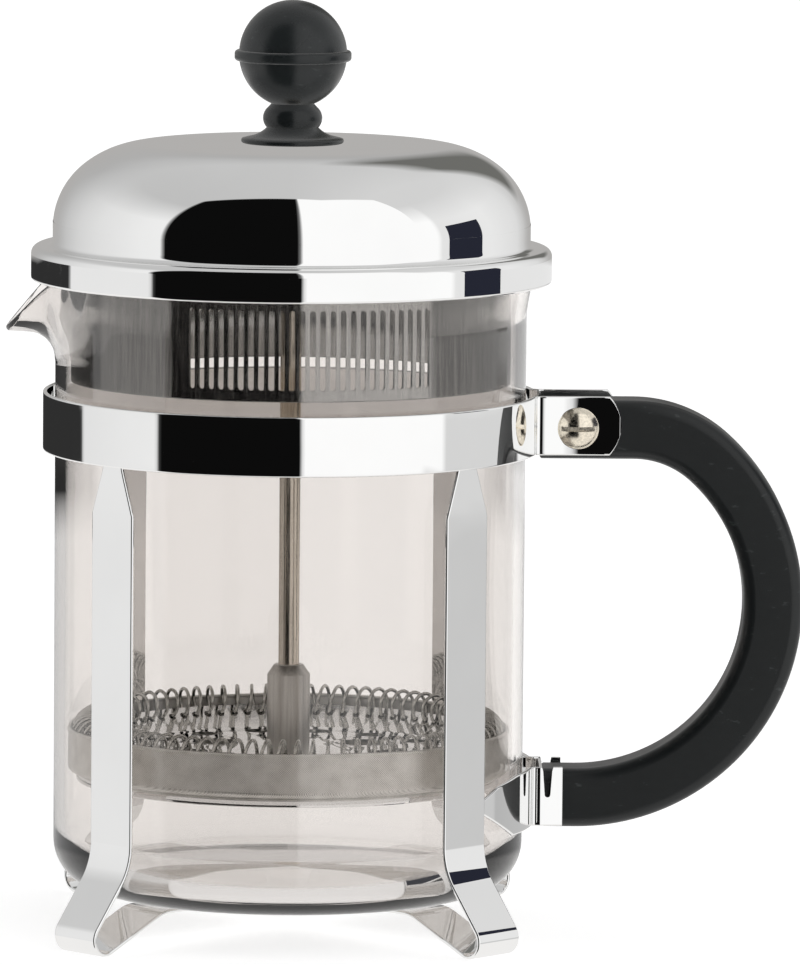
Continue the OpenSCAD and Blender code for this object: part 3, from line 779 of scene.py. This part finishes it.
def coil_spring():
    """One spring bent to a ring: its wire runs round the coil while the coil runs round."""
    steps, sides, wire_r = 22, 7, 0.35
    rings = []
    for i in range(COIL_TURNS * steps):
        ring_a = 2 * pi * i / (COIL_TURNS * steps)
        turn_a = 2 * pi * i / steps + THREAD_A
        lean = 0.25 * sin(3 * ring_a) + 0.15 * sin(7 * ring_a + 1)
        ring = []
        for j in range(sides):
            wire_a = 2 * pi * j / sides
            out = COIL_R + wire_r * cos(wire_a)
            along = wire_r * sin(wire_a)
            r = COIL_RING_R + out * cos(turn_a)
            z = COIL_Z + out * sin(turn_a)
            along += lean * (z - COIL_Z) / COIL_R * 0.6
            ring.append((r * cos(ring_a) - along * sin(ring_a),
                         r * sin(ring_a) + along * cos(ring_a), z))
        rings.append(ring)
    return finish_piece("coil_spring", *loft(rings, loop=True), SPRING_STEEL, "plunger",
                        ["coil_spring"], "spring_steel", 80)


def spiral_plate():
    """A dished plate with a raised edge: a hole for each turn of the spring, and two rings of
    large holes."""
    t = 0.5
    hub = MESH_LOW + 0.4
    bore = ROD_R + FIT
    under = [(bore, hub), (8, hub), (9.2, hub + 0.25), (11, PLATE_Z - 0.2), (12, PLATE_Z),
             (33.2, PLATE_Z), (34.2, PLATE_Z + 0.25), (38.7, PLATE_Z + 4)]
    over = [(38.3, PLATE_Z + 4 + t), (34.0, PLATE_Z + t + 0.3), (33.0, PLATE_Z + t),
            (11.8, PLATE_Z + t), (10.8, PLATE_Z + t - 0.2), (9.0, hub + t + 0.25), (7.8, hub + t),
            (bore, hub + t)]
    obj = finish_piece("spiral_plate", *spin(under + over, 168, closed=True), CHROME, "plunger",
                       ["spiral_plate"], "chrome")
    r, z = COIL_RING_R + COIL_R * cos(THREAD_A), COIL_Z + COIL_R * sin(THREAD_A)
    lean, reach, thread_r = THREAD_A - radians(120), 1.2, 0.75
    dx, dz = reach * sin(lean), reach * cos(lean)
    hole = rod_between((r - dx, 0, z - dz), (r + dx, 0, z + dz), thread_r, 14)
    cutters = [turned(hole, 360 * i / COIL_TURNS) for i in range(COIL_TURNS)]
    for count, ring_r, hole_r, start_a in ((8, 20, 4, 0), (16, 29.5, 2.6, 11.25)):
        hole = rod_between((ring_r, 0, PLATE_Z - 1), (ring_r, 0, PLATE_Z + 2), hole_r, 40)
        cutters += [turned(hole, start_a + 360 / count * i) for i in range(count)]
    carve(obj, join(*cutters))
    return obj


def mesh_filter():
    """A disc of wire cloth, its edge turned up and rolled, and a little uneven as cloth is."""
    t, corner, roll_r, flat_r = 0.3, 1.3, 0.38, 36
    wall_r = MESH_R - 0.25
    upright = MESH_HIGH - MESH_LOW - corner - 0.5
    steps = 6
    wall = [(ROD_R + FIT, MESH_LOW), (flat_r, MESH_LOW)]
    wall += arc(wall_r - corner, MESH_LOW + corner, corner, -90, 0, 6)
    wall += [(wall_r, MESH_LOW + corner + upright * i / steps) for i in range(1, steps + 1)]
    roll = arc(MESH_R - 0.4, MESH_HIGH - roll_r, roll_r, -60, 240, 12)
    inner = [(wall_r - t, z) for r, z in reversed(wall[-steps:])]
    inner += arc(wall_r - corner, MESH_LOW + corner, corner - t, 0, -90, 5)
    inner += [(flat_r, MESH_LOW + t), (ROD_R + FIT, MESH_LOW + t)]
    profile = wall + roll + inner

    def uneven(k, r, a, z):
        rise = max(0.0, (z - MESH_LOW - 1) / (MESH_HIGH - MESH_LOW))
        wave = noise.noise(Vector((3 * cos(a), 3 * sin(a), z * 0.06)))
        r -= 0.28 * rise * max(0.0, wave + 0.25)
        z += 0.35 * rise * noise.noise(Vector((2.2 * cos(a), 2.2 * sin(a), 7)))
        return r * cos(a), r * sin(a), min(z, MESH_HIGH)

    return finish_piece("mesh_filter", *spin(profile, 256, closed=True, move=uneven), WOVEN_STEEL,
                        "plunger", ["mesh_filter"], "steel_mesh", 50)


def cross_plate():
    """A disc with a turned-down edge, and four large panes between the arms of a cross."""
    t, edge = 0.6, CROSS_R
    bore = ROD_R + FIT
    profile = ([(bore, MESH_LOW - t), (edge - 1.8, MESH_LOW - t), (edge - 1.0, MESH_LOW - 0.75),
                (edge - t, MESH_LOW - 1.1), (edge - t, FILTER_LOW), (edge - 0.15, FILTER_LOW),
                (edge, FILTER_LOW + 0.15)]
               + arc(edge - 1, MESH_LOW - 1, 1, 0, 90, 6) + [(bore, MESH_LOW)])
    obj = finish_piece("cross_plate", *spin(profile, 192, closed=True), CHROME, "plunger",
                       ["cross_plate"], "chrome")
    outline = arc(0, 0, 35.5, 9, 81, 14) + arc(0, 0, 10, 66, 24, 5)
    pane = loft([[(x, y, z) for x, y in outline] for z in (MESH_LOW - 2, MESH_LOW + 1)])
    carve(obj, join(*(turned(pane, 90 * i) for i in range(4))))
    return obj


# ---------------------------------------------------------------- beaker

SPOUT_START = 106.0


def spout_point(s, depth):
    """A point of the spout's middle section: s from 0 at the wall to 1 at the tip, depth inside
    the outer face. It goes up the wall, round a bend and out along the lip."""
    bend, low_z = 5.0, 108.8
    centre = GLASS_R + bend + 0.1
    wall_len, arc_len, lip_len = low_z - SPOUT_START, pi / 2 * bend * 0.97, 4.6
    at = s * (wall_len + arc_len + lip_len)
    if at < wall_len:
        return GLASS_R - depth, SPOUT_START + at
    thin = depth * (1 - 0.3 * s)
    if at < wall_len + arc_len:
        a = pi - (at - wall_len) / bend
        return centre + (bend + thin) * cos(a), low_z + (bend + thin) * sin(a)
    a = pi - arc_len / bend
    past = at - wall_len - arc_len
    return (centre + (bend + thin) * cos(a) + past * sin(a),
            low_z + (bend + thin) * sin(a) - past * cos(a))


def beaker():
    corner, inner_corner, floor_z = 9.4, 8, GLASS_LOW + 3.8
    flare_z = 117.0
    lip = GLASS_WALL / 2
    outer = [(0, GLASS_LOW + 2.0), (8, GLASS_LOW + 1.9), (16, GLASS_LOW + 1.3),
             (23, GLASS_LOW + 0.45), (26.5, GLASS_LOW + 0.06), (29, GLASS_LOW)]
    outer += arc(GLASS_R - corner, GLASS_LOW + corner, corner, -90, 0, 22)
    outer += [(GLASS_R, GLASS_LOW + corner + (SPOUT_START - GLASS_LOW - corner) * i / 12)
              for i in range(1, 13)]
    steps = 26

    def wall_r(z, depth):
        t = max(0.0, (z - flare_z) / (GLASS_TOP - flare_z))
        return GLASS_R + GLASS_FLARE * t * t * (3 - 2 * t) - depth

    def lip_profile():
        """(s, depth) of each point from the wall's outer face over the lip to the inner face."""
        up = [(i / steps, 0.0) for i in range(1, steps)]
        over = [(1 - 0.045 * (1 - sin(radians(a))), lip - lip * cos(radians(a)))
                for a in range(0, 181, 22)]
        return up + over + [(s, GLASS_WALL) for s, _ in reversed(up)]

    lips = lip_profile()
    drop = SPOUT_START - floor_z - inner_corner
    inner = [(GLASS_R - GLASS_WALL, SPOUT_START - drop * i / 12) for i in range(13)]
    inner += arc(GLASS_R - GLASS_WALL - inner_corner, floor_z + inner_corner, inner_corner,
                 0, -90, 18)[1:]
    inner += [(28, floor_z), (18, floor_z + 0.15), (8, floor_z + 0.4), (0, floor_z + 0.45)]
    profile = outer + [(0, 0)] * len(lips) + inner
    first = len(outer)

    def shape(k, r, a, z):
        if first <= k < first + len(lips):
            s, depth = lips[k - first]
            z = SPOUT_START + (GLASS_TOP - SPOUT_START) * s
            r = wall_r(z, depth)
            off = degrees(min(a, 2 * pi - a))
            pull = 0.6 * exp(-(off / 10.5) ** 2) + 0.4 * exp(-(off / 21) ** 2)
            spout_r, spout_z = spout_point(s, depth)
            r += (spout_r - r) * pull
            z += (spout_z - z) * pull
        return -r * cos(a), r * sin(a), z

    return finish_piece("beaker", *spin(profile, 300, move=shape), GLASS, "beaker", ["beaker"],
                        "glass", 60)


# ---------------------------------------------------------------- frame

def ear_line(x, flat_x):
    """The ear's middle line: it bows outwards by a hair between its bend and flat_x."""
    bow = 0.0087
    return x, EAR_Y + bow / 2 * max(0.0, flat_x - x) ** 2


def ear_path(end_x, end_a, flat_x=EAR_FLAT_X):
    """The middle line of a sheet in plan, from an ear on the +y side round to the angle end_a."""
    steps = 10
    path = [ear_line(end_x + (BEND_X - end_x) * i / steps, flat_x) for i in range(steps + 1)]
    bulge = path[-1][1] - EAR_Y
    bend = arc(BEND_X, BEND_Y, BEND_R, 270, 180 + degrees(BEND_A), 12)
    path += [(x, y + bulge * (1 - i / 12) ** 2) for i, (x, y) in enumerate(bend)][1:]
    start = degrees(BEND_A)
    steps = max(4, round((end_a - start) / 1.5))
    return path + arc(0, 0, SHEET_R, start, end_a, steps)[1:]


def screw_hole():
    """A cutter through both ears and the handle."""
    reach = 9
    return rod_between((SCREW_X, -reach, SCREW_Z), (SCREW_X, reach, SCREW_Z), SCREW_R + FIT)


def frame_band():
    """The strip round the glass, from one ear's round end to the other's."""
    middle = (BAND_LOW + BAND_HIGH) / 2
    half = (BAND_HIGH - BAND_LOW) / 2
    end_r = EAR_END_X - SCREW_X
    corner_a = degrees(asin(half / end_r))
    side = [ear_line(SCREW_X + end_r * cos(radians(a)), EAR_FLAT_X) for a in
            (3, 6, 10, 14, 19, 24, 29, 34, 38, corner_a)]
    line = side + ear_path(SCREW_X + 5, 180)
    path = line + [(x, -y) for x, y in reversed(line[:-1])]

    def spread(point):
        reach = (point[0] - SCREW_X) / end_r
        h = half if reach < cos(radians(corner_a)) else end_r * sqrt(max(0, 1 - reach * reach))
        return middle - h, middle + h

    obj = finish_piece("frame_band", *sheet_strip(path, spread, lambda u, v, w: (u, v, w)), CHROME,
                       "frame", ["frame_band"], "chrome", 40, True)
    carve(obj, screw_hole(), 40)
    return obj


def leg_strip(name, turn, hop):
    """Two legs, their curled feet and the run under the glass. The strip that hops passes over
    the other one where they cross. Mirrors don't see the strips, so that the far legs stay
    pale through the glass."""
    reach, curl, flare, climb = 53.2, 3.0, 38.0, 24.0
    foot_z = curl + SHEET_T / 2 - 0.15
    run_z = GLASS_LOW - 0.1 - SHEET_T / 2
    flare_r, climb_r = 12.0, 8.0
    start_u, start_z = arc(reach, foot_z, curl, flare, flare, 1)[0]
    bend_end_u = SHEET_R + flare_r * (1 - cos(radians(flare)))
    slope = (start_u - bend_end_u) / sin(radians(flare))
    flare_z = start_z + slope * cos(radians(flare)) + flare_r * sin(radians(flare))
    end_u, end_z = arc(reach, foot_z, curl, -90 - climb, -90 - climb, 1)[0]
    top_z = run_z - climb_r * (1 - cos(radians(climb)))
    climb_u = end_u - (top_z - end_z) / tan(radians(climb)) - climb_r * sin(radians(climb))
    lift = SHEET_T + 0.05 if hop else 0
    half = [(SHEET_R, BAND_LOW + 0.15)]
    half += [(SHEET_R, BAND_LOW - LEG_NECK_H * i / 8) for i in range(1, 9)]
    half += arc(SHEET_R + flare_r, flare_z, flare_r, 180, 180 + flare, 16)
    half += arc(reach, foot_z, curl, flare, -90 - climb, 30)
    half += arc(climb_u, run_z - climb_r, climb_r, 90 - climb, 90, 8)
    half += [(10, run_z), (9.2, run_z + lift * 0.12), (7.8, run_z + lift * 0.88),
             (7, run_z + lift), (0, run_z + lift)]
    path = resample(half + [(-u, z) for u, z in reversed(half[:-1])], 6)

    def spread(point):
        down = min(1.0, max(0.0, (BAND_LOW - point[1]) / LEG_NECK_H))
        w = LEG_NECK_W + (LEG_W - LEG_NECK_W) * down
        return -w / 2, w / 2

    part = sheet_strip(path, spread, lambda u, v, w: (u, w, v))
    verts, faces = turned(part, turn)
    verts = [(x, y, max(z, 0.0)) for x, y, z in verts]
    obj = finish_piece(name, verts, faces, CHROME, "frame", [name], "chrome", 40, True)
    rivet_r = 1.6
    carve(obj, rod_between((0, 0, run_z - 2), (0, 0, run_z + 3), rivet_r + FIT), 40)
    obj.visible_glossy = False
    return obj


def lower_bracket():
    """Two cheeks at the handle's end, their wings towards the legs, the hooks and the web."""
    wing_a = radians(30)
    end_a = 45 - degrees(LEG_EDGE_A)
    start, tip = -18.0, 6.9
    top_line = [(start, BRACKET_HIGH), (-6.3, BRACKET_HIGH), (2.1, 30.3), (tip, 28.4)]
    low_line = [(start, BRACKET_LOW), (-4.4, BRACKET_LOW), (tip, 25.5)]

    def height(line, s):
        """The height of a broken line at s, the distance along the wing."""
        for (s0, z0), (s1, z1) in zip(line, line[1:]):
            if s <= s1:
                return z0 + (z1 - z0) * (s - s0) / (s1 - s0)
        return line[-1][1]

    def spread(point):
        x, y = point
        s = max(start, min(tip, -x * sin(wing_a) + y * cos(wing_a)))
        return height(low_line, s), height(top_line, s)

    def upright(path, z_span, *size):
        return sheet_strip(path, z_span, lambda u, v, w: (u, v, w), *size)

    side = upright(resample(ear_path(BRACKET_END_X, end_a, 60), 1.2), spread)
    hook = upright(arc(0, 0, SHEET_R - 0.8, end_a - 1, end_a + 4, 4), lambda p: (26, 28), 0.5, 0.1)
    step = upright(arc(0, 0, SHEET_R - 0.4, end_a - 1.3, end_a - 0.4, 2),
                   lambda p: (26.05, 27.95), 0.6, 0.1)
    web_x, web_y = BEND_X + 0.4, EAR_Y - 0.3
    web = upright([(web_x, -web_y), (web_x, web_y)],
                  lambda p: (BRACKET_LOW + 0.2, BRACKET_HIGH - 0.2), 0.6, 0.1)
    half = join(side, hook, step)
    obj = finish_piece("lower_bracket", *join(half, flipped(half), web), CHROME, "frame",
                       ["lower_bracket"], "chrome", 40, True)
    notch_x, tip_z, tip_r, notch_w = 49.7, 26.2, 0.55, 1.75
    shoulder = BRACKET_HIGH - 0.8
    outline = [(notch_x + u, v) for u, v in
               arc(0, tip_z, tip_r, 180, 360, 10)
               + [(notch_w / 2, shoulder), (notch_w / 2 + 0.5, BRACKET_HIGH + 1),
                  (-notch_w / 2 - 0.5, BRACKET_HIGH + 1), (-notch_w / 2, shoulder)]]
    notches = [loft([[(u, y, v) for u, v in outline] for y in (side_y - 1, side_y + 1)])
               for side_y in (-EAR_Y, EAR_Y)]
    carve(obj, join(*notches), 40)
    return obj


def handle():
    """One moulded D: a flat-sided section with rounded edges, swept along its bends."""
    width, depth, edge = 11.25, 11.9, 2.3
    upper_r, upper_a, bend_x = 21.8, 42.0, 65.6
    turn = radians(upper_a)
    loop_r = (HANDLE_TOP_Z - upper_r * (1 - cos(turn)) - HANDLE_LOW_Z) / (1 + cos(turn))
    loop_x = bend_x + (upper_r - loop_r) * sin(turn)
    start_x = low("handle", "x")
    end_x = BEND_X + 0.8
    path = [(start_x, HANDLE_TOP_Z), (start_x + 0.25, HANDLE_TOP_Z)]
    path += [(start_x + (bend_x - start_x) * i / 8, HANDLE_TOP_Z) for i in range(1, 8)]
    path += arc(bend_x, HANDLE_TOP_Z - upper_r, upper_r, 90, 90 - upper_a, 20)
    path += arc(loop_x, HANDLE_LOW_Z + loop_r, loop_r, 90 - upper_a, -90, 64)[1:]
    path += [(end_x + 0.25, HANDLE_LOW_Z), (end_x, HANDLE_LOW_Z)]
    section = rounded(-width / 2, width / 2, -depth / 2, depth / 2, edge, 8)
    rings = []
    last = len(path) - 1
    for i, ((x, z), (nx, nz)) in enumerate(zip(path, normals_of(path))):
        fit = 0.96 if i in (0, last) else 1.0
        rings.append([(x + nx * p * fit, q * fit, z + nz * p * fit) for p, q in section])
    obj = finish_piece("handle", *loft(rings), BLACK, "frame", ["handle"], "black_plastic", 45, True)
    carve(obj, screw_hole(), 45)
    return obj


def handle_screw():
    """A raised head with a straight slot, and the shank through both ears."""
    head_y, head_h, head_r = EAR_Y + SHEET_T / 2, 2.1, 4.0
    ball = (head_r ** 2 + head_h ** 2) / (2 * head_h)
    open_a = degrees(asin(head_r / ball))
    shank_end = -high("handle_screw", "y")
    head = [(r, head_y + head_h - ball + q) for r, q in arc(0, 0, ball, 90, 90 - open_a + 2, 14)]
    head += [(head_r - 0.02, head_y + 0.12), (head_r - 0.15, head_y)]
    profile = head + [(SCREW_R, head_y), (SCREW_R, shank_end + 0.3), (SCREW_R - 0.3, shank_end),
                      (0, shank_end)]
    verts, faces = spin(profile, 72)
    verts = [(SCREW_X + a, -h, SCREW_Z + b) for a, b, h in verts]
    obj = finish_piece("handle_screw", verts, faces, NICKEL, "frame", ["handle_screw"],
                       "nickel_screw", 30)
    slot_depth, slot_half, slot_reach = 1.2, 0.45, 5
    bottom = -(head_y + head_h - slot_depth)
    x0, x1 = SCREW_X - slot_reach, SCREW_X + slot_reach
    slot = [(x0, bottom), (x1, bottom), (x1, bottom - 4), (x0, bottom - 4)]
    carve(obj, loft([[(x, y, z) for x, y in slot]
                     for z in (SCREW_Z - slot_half, SCREW_Z + slot_half)]), 30)
    return obj


def repaint(node, material):
    """Gives a CAD node that stays as it is its finish."""
    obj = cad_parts[node]
    obj.data.materials.clear()
    obj.data.materials.append(material)


camera()
studio()
floor()
dark_card()
knob()
lid_dome()
lid_strainer()
plunger_rod()
coupling_nut()
coil_spring()
spiral_plate()
mesh_filter()
cross_plate()
beaker()
frame_band()
leg_strip("leg_strip_a", 45, False)
leg_strip("leg_strip_b", -45, True)
lower_bracket()
handle()
handle_screw()
for node, material in (("knob_insert", BRASS), ("lid_inner_plate", BRIGHT_STEEL),
                       ("rod_bush", ROD_STEEL), ("cross_plate_stud", NICKEL),
                       ("centre_rivet", NICKEL), ("handle_nut", NICKEL)):
    repaint(node, material)

bpy.context.scene.view_settings.view_transform = "Standard"
